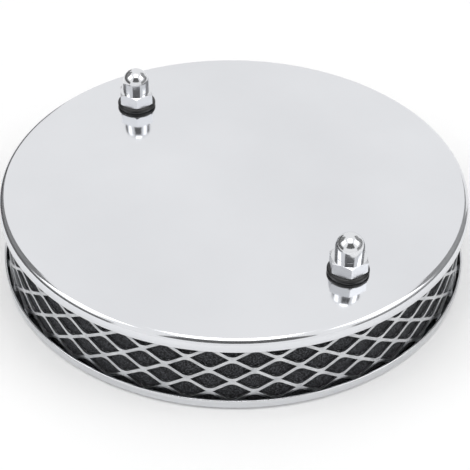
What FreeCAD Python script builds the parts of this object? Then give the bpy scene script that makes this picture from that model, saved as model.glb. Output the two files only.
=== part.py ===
"""Round pancake air filter for a carburettor.

A pressed lid and a pressed back plate clamp a band of flattened expanded metal and a foam ring
between them. Two weld studs stand on the back plate, pass through the lid and carry a sealing
washer and a dome nut each. Millimetres, +Z up along the filter's axis, origin at the middle of
the back plate's underside, +X through the studs.
"""

import FreeCAD
import Part
import math
import os

# Lid and back plate, pressed from one gauge of sheet
COVER_DIAMETER = 178.0
BODY_HEIGHT = 32.0
SHEET = 0.9
COVER_EDGE_RADIUS = 2.7
BASE_EDGE_RADIUS = 1.8
COVER_SKIRT = 5.0
BASE_RIM = 4.2

# Carburettor side of the back plate
BORE_DIAMETER = 44.5
COLLAR_HEIGHT = 6.0
COLLAR_BEND = 1.9
CARB_BOLT_SPACING = 70.0
CARB_BOLT_HOLE_DIAMETER = 8.5

# Weld studs that hold the lid
STUD_EDGE_INSET = 23.25
STUD_DIAMETER = 7.9
STUD_TIP_CHAMFER = 0.8
STUD_FLANGE_DIAMETER = 12.0
STUD_FLANGE_THICKNESS = 1.5
COVER_HOLE_CLEARANCE = 0.25

# Sealing washers
WASHER_DIAMETER = 15.2
WASHER_THICKNESS = 2.0
WASHER_EDGE_RADIUS = 0.75
WASHER_CLEARANCE = 0.1

# Dome nuts
NUT_ACROSS_FLATS = 12.7
NUT_HEX_HEIGHT = 5.0
NUT_CHAMFER_ANGLE = 30.0
NUT_HEIGHT = 14.4
NUT_DOME_DIAMETER = 10.5
NUT_DOME_CAP = 4.6
NUT_BORE_DEPTH = 9.5
NUT_TURN_LEFT = 26.5
NUT_TURN_RIGHT = 33.5
THREAD_CLEARANCE = 0.05
STUD_END_GAP = 1.0

# Expanded metal band
MESH_THICKNESS = 0.9
MESH_EDGE_CLEARANCE = 0.2
MESH_TOP_CLEARANCE = 0.1
MESH_LONG_WAY = 15.6
MESH_SHORT_WAY = 10.0
MESH_STRAND = 1.2
MESH_KNUCKLE = 2.7
MESH_ROW_SHIFT = 0.7
MESH_TURN = -37.7

# Foam ring
FOAM_CLEARANCE = 0.2
FOAM_STUD_GAP = 0.3

# Sizes and places that follow from the driving dimensions
cover_radius = COVER_DIAMETER / 2
cover_underside = BODY_HEIGHT - SHEET
bore_radius = BORE_DIAMETER / 2
stud_radius = STUD_DIAMETER / 2
stud_x = cover_radius - STUD_EDGE_INSET
washer_top = BODY_HEIGHT + WASHER_THICKNESS
nut_bore_radius = stud_radius + THREAD_CLEARANCE
stud_top = washer_top + NUT_BORE_DEPTH - STUD_END_GAP
mesh_outer = cover_radius - BASE_EDGE_RADIUS - MESH_EDGE_CLEARANCE
mesh_inner = mesh_outer - MESH_THICKNESS
mesh_middle = (mesh_outer + mesh_inner) / 2
mesh_count = round(2 * math.pi * mesh_middle / MESH_LONG_WAY)
mesh_in_bend = max(0.0, mesh_outer - (cover_radius - COVER_EDGE_RADIUS))
cover_inner_bend = COVER_EDGE_RADIUS - SHEET
bend_drop = cover_inner_bend - math.sqrt(cover_inner_bend**2 - mesh_in_bend**2)
mesh_top = cover_underside - bend_drop - MESH_TOP_CLEARANCE
mesh_inner_flats = mesh_inner * math.cos(math.pi / (2 * mesh_count))
foam_outer = mesh_inner_flats - FOAM_CLEARANCE
foam_inner = stud_x + STUD_FLANGE_DIAMETER / 2 + FOAM_STUD_GAP

AXIS = FreeCAD.Vector(0, 0, 1)
ORIGIN = FreeCAD.Vector(0, 0, 0)
SIDES = {"left": -stud_x, "right": stud_x}
NUT_TURNS = {"left": NUT_TURN_LEFT, "right": NUT_TURN_RIGHT}


def in_section(radius, height):
    """A point of a turned section, which lies in the XZ plane."""
    return FreeCAD.Vector(radius, 0, height)


def line(start, end):
    return Part.LineSegment(in_section(*start), in_section(*end)).toShape()


def bend(start, centre, end):
    """An arc of a section, the short way round its centre."""
    start, centre, end = (in_section(*p) for p in (start, centre, end))
    half_way = (start + end) * 0.5 - centre
    half_way.normalize()
    middle = centre + half_way * (start - centre).Length
    return Part.Arc(start, middle, end).toShape()


def turned(edges):
    """The solid that a closed section sweeps about the Z axis."""
    face = Part.Face(Part.Wire(edges))
    return face.revolve(ORIGIN, AXIS, 360)


def pin(radius, bottom, top, x=0.0, y=0.0):
    return Part.makeCylinder(radius, top - bottom, FreeCAD.Vector(x, y, bottom), AXIS)


def top_cover():
    """Lid: a flat disc whose edge is turned down into a short skirt, with a hole for each stud."""
    skirt_end = BODY_HEIGHT - COVER_SKIRT
    bend_height = BODY_HEIGHT - COVER_EDGE_RADIUS
    flat = cover_radius - COVER_EDGE_RADIUS
    wall = cover_radius - SHEET
    disc = turned([
        line((0, BODY_HEIGHT), (flat, BODY_HEIGHT)),
        bend((flat, BODY_HEIGHT), (flat, bend_height), (cover_radius, bend_height)),
        line((cover_radius, bend_height), (cover_radius, skirt_end)),
        line((cover_radius, skirt_end), (wall, skirt_end)),
        line((wall, skirt_end), (wall, bend_height)),
        bend((wall, bend_height), (flat, bend_height), (flat, cover_underside)),
        line((flat, cover_underside), (0, cover_underside)),
        line((0, cover_underside), (0, BODY_HEIGHT)),
    ])
    hole_radius = stud_radius + COVER_HOLE_CLEARANCE
    holes = [pin(hole_radius, cover_underside - SHEET, BODY_HEIGHT + SHEET, x) for x in SIDES.values()]
    return disc.cut(holes)


def base_plate():
    """Back plate: the edge is turned up into a rim, and the air bore is drawn up into a collar."""
    flat = cover_radius - BASE_EDGE_RADIUS
    wall = cover_radius - SHEET
    collar_wall = bore_radius + SHEET
    collar_flat = bore_radius + COLLAR_BEND
    plate = turned([
        line((bore_radius, COLLAR_HEIGHT), (bore_radius, COLLAR_BEND)),
        bend((bore_radius, COLLAR_BEND), (collar_flat, COLLAR_BEND), (collar_flat, 0)),
        line((collar_flat, 0), (flat, 0)),
        bend((flat, 0), (flat, BASE_EDGE_RADIUS), (cover_radius, BASE_EDGE_RADIUS)),
        line((cover_radius, BASE_EDGE_RADIUS), (cover_radius, BASE_RIM)),
        line((cover_radius, BASE_RIM), (wall, BASE_RIM)),
        line((wall, BASE_RIM), (wall, BASE_EDGE_RADIUS)),
        bend((wall, BASE_EDGE_RADIUS), (flat, BASE_EDGE_RADIUS), (flat, SHEET)),
        line((flat, SHEET), (collar_flat, SHEET)),
        bend((collar_flat, SHEET), (collar_flat, COLLAR_BEND), (collar_wall, COLLAR_BEND)),
        line((collar_wall, COLLAR_BEND), (collar_wall, COLLAR_HEIGHT)),
        line((collar_wall, COLLAR_HEIGHT), (bore_radius, COLLAR_HEIGHT)),
    ])
    hole_radius = CARB_BOLT_HOLE_DIAMETER / 2
    bolt_y = CARB_BOLT_SPACING / 2
    holes = [pin(hole_radius, -SHEET, 2 * SHEET, 0, y) for y in (-bolt_y, bolt_y)]
    return plate.cut(holes)


def mesh_opening():
    """One opening of the expanded metal, as a prism across the band where it crosses +X.

    Two strands meet in a point at each end of the long way. At the knuckles above and below,
    the strands run together, which leaves the opening a short flat there.
    """
    half_long = math.pi * mesh_middle / mesh_count
    half_short = MESH_SHORT_WAY / 2
    shrink = 1 - MESH_STRAND / 2 * math.hypot(1 / half_long, 1 / half_short)
    tip, peak = half_long * shrink, half_short * shrink
    reach = half_short - MESH_KNUCKLE / 2
    flat = tip * (1 - reach / peak)
    outline = [(tip, 0), (flat, reach), (-flat, reach), (-tip, 0), (-flat, -reach), (flat, -reach), (tip, 0)]
    start = mesh_inner - MESH_THICKNESS
    corners = [FreeCAD.Vector(start, y, z) for y, z in outline]
    through = FreeCAD.Vector(3 * MESH_THICKNESS, 0, 0)
    return Part.Face(Part.makePolygon(corners)).extrude(through), reach


def ring_of_flats(radius):
    """Prism as tall as the band with a corner at each column of knuckles."""
    corners = [
        FreeCAD.Vector(radius * math.cos(a), radius * math.sin(a), SHEET)
        for a in (math.radians(MESH_TURN + 180.0 / mesh_count * i) for i in range(2 * mesh_count + 1))
    ]
    return Part.Face(Part.makePolygon(corners)).extrude(AXIS * (mesh_top - SHEET))


def mesh_band():
    """Band of flattened expanded metal that stands between the back plate and the lid.

    The strands are stiff and stay straight, so the band bends at its columns of knuckles.
    """
    band = ring_of_flats(mesh_outer).cut(ring_of_flats(mesh_inner))
    opening, reach = mesh_opening()
    middle = BODY_HEIGHT / 2 + MESH_ROW_SHIFT
    rows = math.ceil(BODY_HEIGHT / MESH_SHORT_WAY)
    openings = []
    for column in range(2 * mesh_count):
        stagger = MESH_SHORT_WAY / 2 * (column % 2)
        turn = MESH_TURN + 180.0 / mesh_count * column
        for row in range(-rows, rows + 1):
            height = middle + stagger + row * MESH_SHORT_WAY
            if SHEET < height + reach and height - reach < mesh_top:
                copy = opening.copy()
                copy.translate(FreeCAD.Vector(0, 0, height))
                copy.rotate(ORIGIN, AXIS, turn)
                openings.append(copy)
    return band.cut(openings)


def foam_element():
    """Foam ring inside the band, held out against it by the studs."""
    return pin(foam_outer, SHEET, cover_underside).cut(pin(foam_inner, 0, BODY_HEIGHT))


def cover_stud(x):
    """Weld stud on the back plate, with a plain shank where the thread runs."""
    flange_radius = STUD_FLANGE_DIAMETER / 2
    flange_top = SHEET + STUD_FLANGE_THICKNESS
    tip_radius = stud_radius - STUD_TIP_CHAMFER
    stud = turned([
        line((0, SHEET), (flange_radius, SHEET)),
        line((flange_radius, SHEET), (flange_radius, flange_top)),
        line((flange_radius, flange_top), (stud_radius, flange_top)),
        line((stud_radius, flange_top), (stud_radius, stud_top - STUD_TIP_CHAMFER)),
        line((stud_radius, stud_top - STUD_TIP_CHAMFER), (tip_radius, stud_top)),
        line((tip_radius, stud_top), (0, stud_top)),
        line((0, stud_top), (0, SHEET)),
    ])
    stud.translate(FreeCAD.Vector(x, 0, 0))
    return stud


def sealing_washer(x):
    """Rubber washer with a rounded rim, squeezed between the lid and its nut."""
    hole = stud_radius + WASHER_CLEARANCE
    rim = WASHER_DIAMETER / 2
    flat = rim - WASHER_EDGE_RADIUS
    low, high = BODY_HEIGHT, washer_top
    low_bend, high_bend = low + WASHER_EDGE_RADIUS, high - WASHER_EDGE_RADIUS
    washer = turned([
        line((hole, low), (flat, low)),
        bend((flat, low), (flat, low_bend), (rim, low_bend)),
        line((rim, low_bend), (rim, high_bend)),
        bend((rim, high_bend), (flat, high_bend), (flat, high)),
        line((flat, high), (hole, high)),
        line((hole, high), (hole, low)),
    ])
    washer.translate(FreeCAD.Vector(x, 0, 0))
    return washer


def dome_nut(x, turn):
    """Dome nut: a chamfered hexagon under a round-topped cap, with a blind bore."""
    corner_radius = NUT_ACROSS_FLATS / math.sqrt(3)
    flat_radius = NUT_ACROSS_FLATS / 2
    hex_top = washer_top + NUT_HEX_HEIGHT
    nut_top = washer_top + NUT_HEIGHT
    corners = [
        FreeCAD.Vector(corner_radius * math.cos(a), corner_radius * math.sin(a), washer_top)
        for a in (math.radians(60 * i + turn) for i in range(7))
    ]
    hexagon = Part.Face(Part.makePolygon(corners)).extrude(AXIS * NUT_HEX_HEIGHT)

    chamfer_drop = (corner_radius - flat_radius) * math.tan(math.radians(NUT_CHAMFER_ANGLE))
    chamfer = turned([
        line((0, washer_top), (flat_radius, washer_top)),
        line((flat_radius, washer_top), (corner_radius, washer_top + chamfer_drop)),
        line((corner_radius, washer_top + chamfer_drop), (corner_radius, hex_top - chamfer_drop)),
        line((corner_radius, hex_top - chamfer_drop), (flat_radius, hex_top)),
        line((flat_radius, hex_top), (0, hex_top)),
        line((0, hex_top), (0, washer_top)),
    ])

    dome_radius = NUT_DOME_DIAMETER / 2
    shoulder = nut_top - NUT_DOME_CAP
    cap_radius = (dome_radius**2 + NUT_DOME_CAP**2) / (2 * NUT_DOME_CAP)
    dome = turned([
        line((0, washer_top), (dome_radius, washer_top)),
        line((dome_radius, washer_top), (dome_radius, shoulder)),
        bend((dome_radius, shoulder), (0, nut_top - cap_radius), (0, nut_top)),
        line((0, nut_top), (0, washer_top)),
    ])

    bore = pin(nut_bore_radius, washer_top, washer_top + NUT_BORE_DEPTH)
    nut = hexagon.common(chamfer).fuse(dome).removeSplitter().cut(bore)
    nut.translate(FreeCAD.Vector(x, 0, 0))
    return nut


def main():
    pieces = {
        "top_cover": top_cover(),
        "base_plate": base_plate(),
        "mesh_band": mesh_band(),
        "foam_element": foam_element(),
    }
    for side, x in SIDES.items():
        pieces["cover_stud_" + side] = cover_stud(x)
        pieces["sealing_washer_" + side] = sealing_washer(x)
        pieces["dome_nut_" + side] = dome_nut(x, NUT_TURNS[side])

    os.makedirs("parts", exist_ok=True)
    for name, shape in pieces.items():
        shape.exportStep("parts/" + name + ".step")
        print(name, len(shape.Solids), "solid", round(shape.Volume, 1), "mm3", shape.isValid())


main()
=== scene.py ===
# %% [markdown]
# # A pancake air filter for a carburettor
#
# The filter is a polished lid and a polished back plate with a band of expanded metal and a foam
# ring clamped between them. Two studs come up through the lid and carry a rubber washer and a
# bright dome nut each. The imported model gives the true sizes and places. This lesson dresses it:
# thin pressings with soft bends, strands with rounded edges, foam with pores, and chrome that has
# a studio to reflect.

import math

import bmesh
import bpy
from mathutils import Matrix, Vector


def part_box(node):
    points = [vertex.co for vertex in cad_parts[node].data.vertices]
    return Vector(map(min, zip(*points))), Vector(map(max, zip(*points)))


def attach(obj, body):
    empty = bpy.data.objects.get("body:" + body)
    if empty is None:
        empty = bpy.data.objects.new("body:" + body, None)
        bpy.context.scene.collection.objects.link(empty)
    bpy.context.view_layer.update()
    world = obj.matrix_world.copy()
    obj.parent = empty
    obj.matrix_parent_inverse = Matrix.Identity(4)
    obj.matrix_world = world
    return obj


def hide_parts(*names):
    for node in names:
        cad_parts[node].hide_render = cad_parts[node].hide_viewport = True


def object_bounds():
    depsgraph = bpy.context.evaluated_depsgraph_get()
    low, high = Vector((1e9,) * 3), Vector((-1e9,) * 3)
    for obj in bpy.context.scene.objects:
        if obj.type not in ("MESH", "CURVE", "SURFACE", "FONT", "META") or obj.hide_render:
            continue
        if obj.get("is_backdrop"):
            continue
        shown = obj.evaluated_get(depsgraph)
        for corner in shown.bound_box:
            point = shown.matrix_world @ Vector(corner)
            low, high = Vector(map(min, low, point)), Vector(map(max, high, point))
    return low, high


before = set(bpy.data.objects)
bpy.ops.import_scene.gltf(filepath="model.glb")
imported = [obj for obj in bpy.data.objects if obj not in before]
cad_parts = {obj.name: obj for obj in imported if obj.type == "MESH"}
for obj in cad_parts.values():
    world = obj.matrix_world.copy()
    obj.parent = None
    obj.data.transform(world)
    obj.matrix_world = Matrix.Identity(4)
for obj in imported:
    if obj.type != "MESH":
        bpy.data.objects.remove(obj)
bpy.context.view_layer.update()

# %% [markdown]
# ## Sizes
#
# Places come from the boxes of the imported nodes, so the pieces fit without any nudging. Only what
# a box cannot tell is written down here: the sheet's thickness, the bend radii and the pattern of
# the mesh. Blender works in metres, so a millimetre gets a name.

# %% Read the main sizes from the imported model
MM = 0.001
SHEET = 0.9 * MM
LID_EDGE_RADIUS = 2.7 * MM
BASE_EDGE_RADIUS = 1.8 * MM
STUD_SIDES = ("left", "right")

lid_low, lid_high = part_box("top_cover")
base_low, base_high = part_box("base_plate")
band_low, band_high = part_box("mesh_band")
foam_low, foam_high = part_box("foam_element")

pressing_radius = min(lid_high.x, lid_high.y)
lid_top = lid_high.z
skirt_end = lid_low.z
print("pressing radius", round(pressing_radius / MM, 2), "mm")
print("lid top", round(lid_top / MM, 2), "mm")

# %% [markdown]
# ## A helper for finished pieces
#
# Each finished bmesh becomes an object at the origin, with its place in its mesh, and rides on the
# one rigid body. Faces that meet at a wide angle are shaded smooth, and edges sharper than a set
# angle stay crisp, as they do on a pressed or turned part.

# %% Turn a bmesh into a piece of the filter
CRISP_ANGLE = math.radians(35)


def add_piece(name, bm, node, crisp_angle=CRISP_ANGLE):
    mesh = bpy.data.meshes.new(name)
    bm.to_mesh(mesh)
    bm.free()
    mesh.shade_smooth()
    mesh.set_sharp_from_angle(angle=crisp_angle)
    piece = bpy.data.objects.new(name, mesh)
    bpy.context.scene.collection.objects.link(piece)
    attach(piece, "root")
    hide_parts(node)
    print(name, len(mesh.polygons), "faces")
    return piece


# %% [markdown]
# ## Pressings
#
# The lid and the back plate are each one sheet of steel. A sheet is easiest to model as its outer
# skin, which is then given its thickness. The skin's curved part is a few points of the section,
# spun about the axis. The flat part is filled between the last ring of the spin and the rims of the
# holes, because a fill leaves round holes round. Then the skin is thickened inwards, and the cut
# edges of the sheet are rounded a little.

# %% Helpers for pressed sheet
SPIN_STEPS = 256
BEND_STEPS = 8
HOLE_STEPS = 48
WELD = 0.001 * MM
EDGE_ROUND = 0.35 * MM
EDGE_STEPS = 3


def section_line(bm, points):
    """A chain of edges through points of a section, given as radius and height."""
    chain = [bm.verts.new((radius, 0, height)) for radius, height in points]
    return [bm.edges.new(pair) for pair in zip(chain, chain[1:])]


def quarter_bend(centre, radius, start_degrees, end_degrees):
    """Points of a bend in a section, from one angle to the other."""
    turn = end_degrees - start_degrees
    angles = [math.radians(start_degrees + turn * i / BEND_STEPS) for i in range(BEND_STEPS + 1)]
    return [(centre[0] + radius * math.cos(a), centre[1] + radius * math.sin(a)) for a in angles]


def spin_section(bm, edges):
    verts = list({v for e in edges for v in e.verts})
    bmesh.ops.spin(bm, geom=verts + edges, cent=(0, 0, 0), axis=(0, 0, 1),
                   angle=math.tau, steps=SPIN_STEPS, use_merge=True)
    bmesh.ops.remove_doubles(bm, verts=bm.verts, dist=WELD)


def hole_rim(bm, x, y, z, radius):
    place = Matrix.Translation((x, y, z))
    bmesh.ops.create_circle(bm, segments=HOLE_STEPS, radius=radius, matrix=place)


def fill_flat(bm, height):
    """Fills the level gap between the open rims at one height, and leaves the holes open."""
    level = [e for e in bm.edges
             if len(e.link_faces) < 2 and all(abs(v.co.z - height) < WELD for v in e.verts)]
    filled = bmesh.ops.triangle_fill(bm, use_beauty=True, edges=level, normal=(0, 0, 1))
    return [g for g in filled["geom"] if isinstance(g, bmesh.types.BMFace)]


def thicken(bm, flat_faces, flat_normal):
    """Gives the skin its sheet thickness on the side away from the flat's normal."""
    bmesh.ops.recalc_face_normals(bm, faces=bm.faces)
    if flat_faces[0].normal.dot(flat_normal) < 0:
        bmesh.ops.reverse_faces(bm, faces=bm.faces)
    bmesh.ops.solidify(bm, geom=bm.faces[:], thickness=SHEET)
    bmesh.ops.recalc_face_normals(bm, faces=bm.faces)


def round_edges(bm, height):
    """Takes the sharpness off the sheet's cut edges at one height."""
    cut = [e for e in bm.edges if all(abs(v.co.z - height) < WELD for v in e.verts)
           and e.calc_face_angle(0) > CRISP_ANGLE]
    bmesh.ops.bevel(bm, geom=cut, offset=EDGE_ROUND, segments=EDGE_STEPS, profile=0.5,
                    affect="EDGES")


# %% [markdown]
# ### Lid
#
# The lid is a flat disc with its edge turned down into a short skirt. The bend at the edge is what
# catches the light, so it gets eight steps. Two holes let the studs through.

# %% Lid
STUD_HOLE_RADIUS = 4.2 * MM

lid_mesh = bmesh.new()
lid_flat = pressing_radius - LID_EDGE_RADIUS
lid_bend = quarter_bend((lid_flat, lid_top - LID_EDGE_RADIUS), LID_EDGE_RADIUS, 90, 0)
spin_section(lid_mesh, section_line(lid_mesh, lid_bend + [(pressing_radius, skirt_end)]))
for side in STUD_SIDES:
    low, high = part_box("cover_stud_" + side)
    hole_rim(lid_mesh, (low.x + high.x) / 2, (low.y + high.y) / 2, lid_top, STUD_HOLE_RADIUS)
thicken(lid_mesh, fill_flat(lid_mesh, lid_top), Vector((0, 0, 1)))
round_edges(lid_mesh, skirt_end)
lid = add_piece("polished_lid", lid_mesh, "top_cover")

# %% [markdown]
# ### Back plate
#
# The back plate is pressed the other way up, with a rim that holds the mesh band in place. Its air
# bore is drawn up into a collar, so the section has a second bend there. The two carburettor bolts
# go through the flat.

# %% Back plate
BORE_RADIUS = 22.25 * MM
COLLAR_BEND = 1.9 * MM
BOLT_OFFSET = 35 * MM
BOLT_HOLE_RADIUS = 4.25 * MM
BASE_RIM = 4.2 * MM

base_mesh = bmesh.new()
base_flat = pressing_radius - BASE_EDGE_RADIUS
base_bend = quarter_bend((base_flat, BASE_EDGE_RADIUS), BASE_EDGE_RADIUS, 270, 360)
collar_bend = quarter_bend((BORE_RADIUS + COLLAR_BEND, COLLAR_BEND), COLLAR_BEND, 180, 270)
spin_section(base_mesh, section_line(base_mesh, base_bend + [(pressing_radius, BASE_RIM)]))
spin_section(base_mesh, section_line(base_mesh, [(BORE_RADIUS, base_high.z)] + collar_bend))
for y in (-BOLT_OFFSET, BOLT_OFFSET):
    hole_rim(base_mesh, 0, y, 0, BOLT_HOLE_RADIUS)
thicken(base_mesh, fill_flat(base_mesh, 0), Vector((0, 0, -1)))
for height in (BASE_RIM, base_high.z):
    round_edges(base_mesh, height)
base = add_piece("polished_back_plate", base_mesh, "base_plate")

# %% [markdown]
# ## Expanded metal
#
# Expanded metal is slit, pulled open and rolled flat. Its openings have sharp ends along the long
# way and round shoulders at the knuckles. The pattern repeats, so a quarter of one cell is enough:
# one strand runs from the knuckle beside an opening to the knuckle above it. The lower edge of the
# strand is a straight run and an arc, and its upper edge is the same curve turned half round, so
# the two are bridged. Mirrors make the cell, copies make a column, and a spin of copies makes the
# band. Modelling the whole wall by hand would be slow, and a texture would have no depth.

# %% One quarter cell of the mesh
MESH_COUNT = 35
MESH_SHORT_WAY = 10.0 * MM
MESH_STRAND = 1.2 * MM
MESH_KNUCKLE = 2.7 * MM
MESH_ROW_SHIFT = 0.7 * MM
MESH_TURN = math.radians(-37.7)
MESH_WALL = 0.9 * MM
ARC_STEPS = 5

band_radius = min(band_high.x, band_high.y)
half_long = math.pi * (band_radius - MESH_WALL / 2) / MESH_COUNT
half_short = MESH_SHORT_WAY / 2
shrink = 1 - MESH_STRAND / 2 * math.hypot(1 / half_long, 1 / half_short)
tip, peak = half_long * shrink, half_short * shrink
reach = half_short - MESH_KNUCKLE / 2
corner = math.atan2(tip, peak)
arc_radius = (peak - reach) / (1 / math.sin(corner) - 1)
arc_share = arc_radius / math.tan(corner) / math.hypot(tip, peak)

cell = bmesh.new()
strand_end = cell.verts.new((tip, 0, 0))
arc_start = cell.verts.new((tip * arc_share, peak * (1 - arc_share), 0))
lower_edge = [cell.edges.new((strand_end, arc_start))]
bmesh.ops.spin(cell, geom=[arc_start], cent=(0, reach - arc_radius, 0), axis=(0, 0, 1),
               angle=math.pi / 2 - corner, steps=ARC_STEPS)
upper_edge = bmesh.ops.duplicate(cell, geom=cell.verts[:] + cell.edges[:])["geom"]
upper_verts = [g for g in upper_edge if isinstance(g, bmesh.types.BMVert)]
bmesh.ops.rotate(cell, verts=upper_verts, cent=(half_long / 2, half_short / 2, 0),
                 matrix=Matrix.Rotation(math.pi, 3, "Z"))
bmesh.ops.bridge_loops(cell, edges=cell.edges[:])
print("quarter cell:", len(cell.faces), "faces, arc radius", round(arc_radius / MM, 2), "mm")

# %% [markdown]
# The bridge leaves a small corner open at each knuckle. A triangle closes it. Then two mirrors make
# the full cell, which holds one whole opening and a quarter of each of its four neighbours.

# %% Close the knuckles and mirror the quarter into a cell
for knuckle in ((half_long, 0, 0), (0, half_short, 0)):
    centre = cell.verts.new(knuckle)
    near = sorted(cell.verts, key=lambda v: (v.co - centre.co).length)[1:3]
    bmesh.ops.contextual_create(cell, geom=[centre] + near)
for axis in ("X", "Y"):
    bmesh.ops.mirror(cell, geom=cell.verts[:] + cell.edges[:] + cell.faces[:],
                     matrix=Matrix.Identity(4), merge_dist=WELD, axis=axis)
bmesh.ops.remove_doubles(cell, verts=cell.verts, dist=WELD)
print("cell:", len(cell.faces), "faces")

# %% [markdown]
# A column of cells is stood upright, cut to the band's height and bent to the band's radius: a
# vertex's distance along the strip becomes an angle. Spinning copies of the column round the axis
# and welding their seams makes the whole wall in one step. Last, the skin gets its thickness, and
# a narrow bevel takes the sharpness off the strands as rolling does.

# %% Stack, bend and spin the cells into the band
STRAND_ROUND = 0.22 * MM
STRAND_STEPS = 2
STRAND_SHARP = math.radians(50)
NEIGHBOUR_ROWS = (-2, -1, 1, 2)
SEAM_WELD = 10 * WELD

middle = (lid_top + base_low.z) / 2 + MESH_ROW_SHIFT
one_cell = cell.verts[:] + cell.edges[:] + cell.faces[:]
for row in NEIGHBOUR_ROWS:
    copy = bmesh.ops.duplicate(cell, geom=one_cell)["geom"]
    copied = [g for g in copy if isinstance(g, bmesh.types.BMVert)]
    bmesh.ops.translate(cell, verts=copied, vec=(0, row * MESH_SHORT_WAY, 0))
bmesh.ops.translate(cell, verts=cell.verts[:], vec=(0, middle, 0))
for height, normal in ((band_low.z, (0, -1, 0)), (band_high.z, (0, 1, 0))):
    bmesh.ops.bisect_plane(cell, geom=cell.verts[:] + cell.edges[:] + cell.faces[:],
                           plane_co=(0, height, 0), plane_no=normal, clear_outer=True)
for v in cell.verts:
    angle = MESH_TURN + v.co.x / half_long * math.pi / MESH_COUNT
    v.co = (band_radius * math.cos(angle), band_radius * math.sin(angle), v.co.y)
bmesh.ops.spin(cell, geom=cell.verts[:] + cell.edges[:] + cell.faces[:], cent=(0, 0, 0),
               axis=(0, 0, 1), angle=math.tau, steps=MESH_COUNT, use_duplicate=True)
bmesh.ops.remove_doubles(cell, verts=cell.verts, dist=SEAM_WELD)
bmesh.ops.recalc_face_normals(cell, faces=cell.faces)
if cell.faces[0].normal.dot(cell.faces[0].calc_center_median()) < 0:
    bmesh.ops.reverse_faces(cell, faces=cell.faces)
bmesh.ops.solidify(cell, geom=cell.faces[:], thickness=MESH_WALL)
bmesh.ops.recalc_face_normals(cell, faces=cell.faces)
mesh_band = add_piece("expanded_metal_band", cell, "mesh_band")
rolled = mesh_band.modifiers.new("rolled strands", "BEVEL")
rolled.width = STRAND_ROUND
rolled.segments = STRAND_STEPS
rolled.limit_method = "ANGLE"
rolled.angle_limit = STRAND_SHARP

# %% [markdown]
# ## Foam
#
# The foam ring is cut from a strip of open-cell foam. It is soft, so its edges are rounded over and
# it presses lightly against the mesh. The pores are far too small to model: the finish draws them.

# %% Foam ring
FOAM_EDGE = 1.2 * MM
FOAM_INNER_RADIUS = 72.05 * MM

foam_radius = min(foam_high.x, foam_high.y)
foam_mesh = bmesh.new()
ring = [
    *quarter_bend((foam_radius - FOAM_EDGE, foam_low.z + FOAM_EDGE), FOAM_EDGE, 270, 360),
    *quarter_bend((foam_radius - FOAM_EDGE, foam_high.z - FOAM_EDGE), FOAM_EDGE, 0, 90),
    *quarter_bend((FOAM_INNER_RADIUS + FOAM_EDGE, foam_high.z - FOAM_EDGE), FOAM_EDGE, 90, 180),
    *quarter_bend((FOAM_INNER_RADIUS + FOAM_EDGE, foam_low.z + FOAM_EDGE), FOAM_EDGE, 180, 270),
]
spin_section(foam_mesh, section_line(foam_mesh, ring + ring[:1]))
bmesh.ops.recalc_face_normals(foam_mesh, faces=foam_mesh.faces)
foam = add_piece("foam_ring", foam_mesh, "foam_element")

# %% [markdown]
# ## Washers and dome nuts
#
# The rubber washers are turned shapes. The nuts are a chamfered hexagon under a dome, and their
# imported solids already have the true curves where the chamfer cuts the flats. So a merged copy of
# each solid is used, and its shading is refined: smooth on the dome, crisp on the hexagon. The
# right-hand nut is turned back a little on its stud, to stand as it does in the photograph.

# %% Copies of the small turned parts
FLAT_ANGLE = math.radians(1.0)
NUT_CRISP_ANGLE = math.radians(20)
NUT_TURNS = {"left": 0.0, "right": math.radians(-7)}

small_parts = []
for side in STUD_SIDES:
    for kind, slot in (("sealing_washer_", "washer_rubber"), ("dome_nut_", "nut_chrome")):
        copy = bmesh.new()
        copy.from_mesh(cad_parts[kind + side].data)
        bmesh.ops.remove_doubles(copy, verts=copy.verts, dist=WELD)
        bmesh.ops.dissolve_limit(copy, angle_limit=FLAT_ANGLE, verts=copy.verts, edges=copy.edges)
        low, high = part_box(kind + side)
        bmesh.ops.rotate(copy, verts=copy.verts, cent=(low + high) / 2,
                         matrix=Matrix.Rotation(NUT_TURNS[side], 3, "Z"))
        name = "bright_" + kind + side if kind.startswith("dome") else "rubber_" + kind + side
        small_parts.append(add_piece(name, copy, kind + side, NUT_CRISP_ANGLE))

# %% [markdown]
# ## Finishes
#
# Every finish is procedural and reads Object coordinates, so it stays put on the piece. A helper
# sets the even values on the shader itself and lets noise vary the colour and roughness a little,
# because no real surface is one flat colour.

# %% Helper for finishes
NOISE_DETAIL = 4


def finish(name, dark, light, noise_scale, metallic, roughness,
           stretch=(1, 1, 1), spread=(0.3, 0.7)):
    """A surface whose colour wanders between two tones. Returns it with its shader and noise."""
    material = bpy.data.materials.new(name)
    material.use_nodes = True
    nodes, links = material.node_tree.nodes, material.node_tree.links
    shader = nodes["Principled BSDF"]
    shader.inputs["Metallic"].default_value = metallic
    place = nodes.new("ShaderNodeTexCoord")
    mapping = nodes.new("ShaderNodeMapping")
    mapping.inputs["Scale"].default_value = stretch
    noise = nodes.new("ShaderNodeTexNoise")
    noise.inputs["Scale"].default_value = noise_scale
    noise.inputs["Detail"].default_value = NOISE_DETAIL
    tones = nodes.new("ShaderNodeValToRGB")
    tones.color_ramp.elements[0].position = spread[0]
    tones.color_ramp.elements[0].color = (*dark, 1)
    tones.color_ramp.elements[1].position = spread[1]
    tones.color_ramp.elements[1].color = (*light, 1)
    gloss = nodes.new("ShaderNodeMapRange")
    gloss.inputs["To Min"].default_value = roughness[0]
    gloss.inputs["To Max"].default_value = roughness[1]
    links.new(place.outputs["Object"], mapping.inputs["Vector"])
    links.new(mapping.outputs["Vector"], noise.inputs["Vector"])
    links.new(noise.outputs["Fac"], tones.inputs["Fac"])
    links.new(noise.outputs["Fac"], gloss.inputs["Value"])
    links.new(tones.outputs["Color"], shader.inputs["Base Color"])
    links.new(gloss.outputs["Result"], shader.inputs["Roughness"])
    return material, shader, noise


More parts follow.
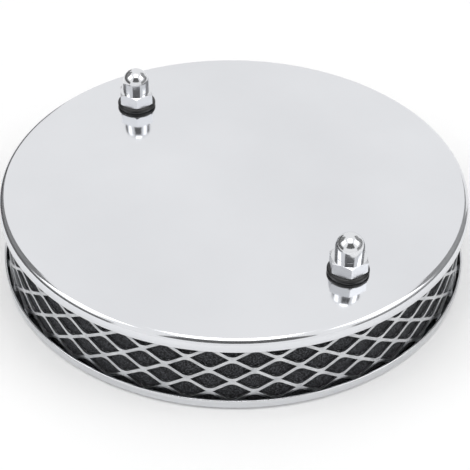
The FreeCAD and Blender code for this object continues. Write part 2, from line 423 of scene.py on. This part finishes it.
# %% [markdown]
# Two more helpers change a finish: one gives it a bump from its own noise, and one dulls it below
# a height. A last one puts a finish on pieces.

# %% Helpers for bump, dulling and painting
def add_bump(material, shader, noise, strength, depth):
    nodes, links = material.node_tree.nodes, material.node_tree.links
    bump = nodes.new("ShaderNodeBump")
    bump.inputs["Strength"].default_value = strength
    bump.inputs["Distance"].default_value = depth
    links.new(noise.outputs["Fac"], bump.inputs["Height"])
    links.new(bump.outputs["Normal"], shader.inputs["Normal"])


def dull_below(made, height, roughness):
    """Adds roughness to a finish below one height, as on a forged hexagon under a polished dome."""
    material, shader, _ = made
    nodes, links = material.node_tree.nodes, material.node_tree.links
    place = nodes.new("ShaderNodeTexCoord")
    split = nodes.new("ShaderNodeSeparateXYZ")
    below = nodes.new("ShaderNodeMath")
    below.operation = "LESS_THAN"
    below.inputs[1].default_value = height
    duller = nodes.new("ShaderNodeMath")
    duller.operation = "MULTIPLY_ADD"
    duller.inputs[1].default_value = roughness
    gloss = shader.inputs["Roughness"].links[0].from_socket
    links.new(place.outputs["Object"], split.inputs["Vector"])
    links.new(split.outputs["Z"], below.inputs[0])
    links.new(below.outputs["Value"], duller.inputs[0])
    links.new(gloss, duller.inputs[2])
    links.new(duller.outputs["Value"], shader.inputs["Roughness"])


def paint(material, *pieces):
    for piece in pieces:
        piece.data.materials.clear()
        piece.data.materials.append(material)


# %% [markdown]
# ### Polished steel, bright mesh, foam, rubber and chrome
#
# The pressings are polished but not perfect mirrors, so they get a little roughness. The mesh is
# duller. The foam has a fine grain of dark pores with lighter cell walls, and a bump to match. The
# nuts have polished domes on hexagons that were left as they were forged.

# %% Finishes of the pieces
HEXAGON_TOP = 6.98 * MM
HEXAGON_ROUGHNESS = 0.28

lid_steel = finish("polished_lid_steel", (0.71, 0.72, 0.745), (0.76, 0.77, 0.795),
                   14, 1.0, (0.08, 0.12), stretch=(1, 1, 40))
paint(lid_steel[0], lid)

base_steel = finish("polished_back_plate_steel", (0.66, 0.67, 0.69), (0.73, 0.74, 0.76),
                    20, 1.0, (0.14, 0.22), stretch=(1, 1, 30))
paint(base_steel[0], base)

mesh_steel = finish("bright_mesh_steel", (0.47, 0.48, 0.495), (0.68, 0.69, 0.705),
                    260, 1.0, (0.25, 0.36))
paint(mesh_steel[0], mesh_band)

foam_finish = finish("charcoal_foam", (0.004, 0.004, 0.005), (0.096, 0.100, 0.112),
                     1900, 0.0, (0.9, 1.0), spread=(0.44, 0.68))
add_bump(*foam_finish, strength=0.7, depth=0.4 * MM)
paint(foam_finish[0], foam)

rubber = finish("black_rubber", (0.010, 0.010, 0.011), (0.022, 0.022, 0.023),
                300, 0.0, (0.28, 0.4))
chrome = finish("nut_chrome", (0.70, 0.71, 0.73), (0.78, 0.79, 0.81),
                40, 1.0, (0.10, 0.15))
stud_zinc = finish("stud_zinc", (0.45, 0.45, 0.46), (0.55, 0.55, 0.56),
                   200, 1.0, (0.3, 0.4))
paint(rubber[0], *small_parts[0::2])
paint(chrome[0], *small_parts[1::2])
dull_below(chrome, lid_top + HEXAGON_TOP, HEXAGON_ROUGHNESS)
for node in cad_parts.values():
    paint(stud_zinc[0] if node.name.startswith("cover_stud") else base_steel[0], node)
print(len(bpy.data.materials), "finishes")

# %% [markdown]
# ## Studio
#
# The filter stands on a plain pale floor under soft light. Chrome shows what is around it, so the
# studio matters as much as the finish. The surround is white where it is seen, also in the chrome,
# and a little darker for the rays that only light things, so the level of the light stays plain.
# Two helpers tell these rays apart.

# %% Helpers for the level of light
def seen_rays(tree):
    """A socket that is 1 for rays that show something to the camera, also in metal, and else 0."""
    path = tree.nodes.new("ShaderNodeLightPath")
    seen = path.outputs["Is Camera Ray"]
    for kind in ("Is Glossy Ray", "Is Transmission Ray"):
        either = tree.nodes.new("ShaderNodeMath")
        either.operation = "MAXIMUM"
        tree.links.new(seen, either.inputs[0])
        tree.links.new(path.outputs[kind], either.inputs[1])
        seen = either.outputs["Value"]
    return seen


def set_level(tree, unseen, seen, target):
    """Gives a socket one value for the rays that light things and another where it is seen."""
    level = tree.nodes.new("ShaderNodeMapRange")
    level.inputs["To Min"].default_value = unseen
    level.inputs["To Max"].default_value = seen
    tree.links.new(seen_rays(tree), level.inputs["Value"])
    tree.links.new(level.outputs["Result"], target)


# %% [markdown]
# The floor is matt paper. It is lifted a little where it is seen, so that it reads as white and
# still keeps the shadow of the filter. The world is plain white.

# %% Floor and world
FLOOR_HALF_SIDE = 6
FLOOR_LIFT = 0.08
WORLD_FILL = 0.85

floor_mesh = bmesh.new()
bmesh.ops.create_grid(floor_mesh, x_segments=1, y_segments=1, size=FLOOR_HALF_SIDE)
floor_data = bpy.data.meshes.new("floor")
floor_mesh.to_mesh(floor_data)
floor_mesh.free()
floor = bpy.data.objects.new("floor", floor_data)
bpy.context.scene.collection.objects.link(floor)
floor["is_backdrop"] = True
paper, paper_shader, _ = finish("white paper", (0.93, 0.93, 0.93), (0.95, 0.95, 0.95),
                                3, 0.0, (0.9, 1.0))
paper_shader.inputs["Emission Color"].default_value = (1, 1, 1, 1)
set_level(paper.node_tree, 0.0, FLOOR_LIFT, paper_shader.inputs["Emission Strength"])
paint(paper, floor)

world = bpy.data.worlds.new("white studio")
bpy.context.scene.world = world
world.use_nodes = True
background = world.node_tree.nodes["Background"]
background.inputs["Color"].default_value = (1, 1, 1, 1)
set_level(world.node_tree, WORLD_FILL, 1.0, background.inputs["Strength"])
print("floor and world ready")

# %% [markdown]
# The camera stands where the photograph was taken from. Its place was solved from the outlines of
# the lid and the back plate: a little over half a metre away, looking down at about 39 degrees.

# %% Camera
CAMERA_DISTANCE = 529.85 * MM
CAMERA_AZIMUTH = math.radians(52.2)
CAMERA_HEIGHT_ANGLE = math.radians(36.648)
CAMERA_PITCH = math.radians(38.824)
CAMERA_YAW = math.radians(0.0723)
CAMERA_ROLL = math.radians(0.809)
LENS = 106.69
SENSOR = 36
LID_ARC_DROP = 0.3 * MM

camera_data = bpy.data.cameras.new("camera")
camera_data.lens = LENS
camera_data.sensor_width = SENSOR
camera = bpy.data.objects.new("camera", camera_data)
bpy.context.scene.collection.objects.link(camera)
turn = Matrix.Rotation(CAMERA_AZIMUTH, 3, "Z")
back = Vector((0, -math.cos(CAMERA_HEIGHT_ANGLE), math.sin(CAMERA_HEIGHT_ANGLE)))
target = Vector((0, 0, lid_top - LID_ARC_DROP))
forward = Vector((math.sin(CAMERA_YAW) * math.cos(CAMERA_PITCH),
                  math.cos(CAMERA_YAW) * math.cos(CAMERA_PITCH), -math.sin(CAMERA_PITCH)))
right = Vector((math.cos(CAMERA_YAW), -math.sin(CAMERA_YAW), 0))
up = right.cross(forward)
rolled_right = math.cos(CAMERA_ROLL) * right + math.sin(CAMERA_ROLL) * up
rolled_up = math.cos(CAMERA_ROLL) * up - math.sin(CAMERA_ROLL) * right
axes = turn @ Matrix((rolled_right, rolled_up, -forward)).transposed()
camera.matrix_world = Matrix.Translation(target + turn @ back * CAMERA_DISTANCE) @ axes.to_4x4()
bpy.context.scene.camera = camera
print("camera at", [round(c / MM) for c in camera.location], "mm")

# %% [markdown]
# Three soft boxes light the object evenly: one on each side and one overhead. Their reflections
# draw the bright spots on the dome nuts.

# %% Lamps
LAMP_REACH = 1.1


def soft_box(name, azimuth, elevation, size, power):
    data = bpy.data.lights.new(name, "AREA")
    data.size = size
    data.energy = power
    lamp = bpy.data.objects.new(name, data)
    bpy.context.scene.collection.objects.link(lamp)
    a, e = math.radians(azimuth), math.radians(elevation)
    direction = Vector((math.sin(a) * math.cos(e), -math.cos(a) * math.cos(e), math.sin(e)))
    lamp.matrix_world = (Matrix.Translation(direction * LAMP_REACH)
                         @ direction.to_track_quat("Z", "Y").to_matrix().to_4x4())


CAMERA_SIDE = math.degrees(CAMERA_AZIMUTH)
for name, side_angle in (("left_soft_box", -80), ("right_soft_box", 80)):
    soft_box(name, CAMERA_SIDE + side_angle, elevation=45, size=0.55, power=1.25)
soft_box("top_soft_box", CAMERA_SIDE, elevation=85, size=0.5, power=2.9)
print("three soft boxes")

# %% [markdown]
# Dark cloth hangs round the set, out of the camera's sight. It gives the chrome its contrast. The
# flag above the camera makes the dark middle of the domes and the thin dark line along the bend of
# the lid, the cards at the sides make the dark edges of the nuts, and the low curtains make the
# dark lines at the left and right edges of the lid.

# %% Curtains
CURTAIN_REACH = 1.0
CURTAIN_STEPS = 24
CLOTH_VARIATION = 1.15


def curtain(name, start, end, bottom, top, tone):
    """A dark wall along part of a circle round the set, between two angles from the camera."""
    bm = bmesh.new()
    a = math.radians(CAMERA_SIDE + start)
    foot = (CURTAIN_REACH * math.sin(a), -CURTAIN_REACH * math.cos(a))
    edge = bm.edges.new([bm.verts.new((*foot, z)) for z in (bottom, top)])
    bmesh.ops.spin(bm, geom=[*edge.verts, edge], cent=(0, 0, 0), axis=(0, 0, 1),
                   angle=math.radians(end - start), steps=CURTAIN_STEPS)
    mesh = bpy.data.meshes.new(name)
    bm.to_mesh(mesh)
    bm.free()
    wall = bpy.data.objects.new(name, mesh)
    bpy.context.scene.collection.objects.link(wall)
    wall.visible_camera = False
    wall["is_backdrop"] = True
    cloth = finish(name + "_cloth", (tone,) * 3, (tone * CLOTH_VARIATION,) * 3, 5, 0.0, (0.9, 1.0))
    paint(cloth[0], wall)


curtain("front_flag", -31, 36, bottom=0.45, top=1.88, tone=0.15)
curtain("left_card", -146, -97, bottom=0.36, top=1.15, tone=0.28)
curtain("right_card", 98, 146, bottom=0.36, top=1.15, tone=0.40)
curtain("left_curtain", -160, -50, bottom=0, top=0.36, tone=0.16)
curtain("right_curtain", 50, 130, bottom=0, top=0.36, tone=0.35)
print("five pieces of dark cloth")

# %% [markdown]
# ## View settings and size
#
# The view settings stay plain, and the size of the box round the dressed model is printed in
# millimetres.

# %% View settings, sizes and the end
bpy.context.scene.view_settings.view_transform = "Standard"
low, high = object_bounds()
print("visual box in mm:", [round(1000 * side, 1) for side in high - low])
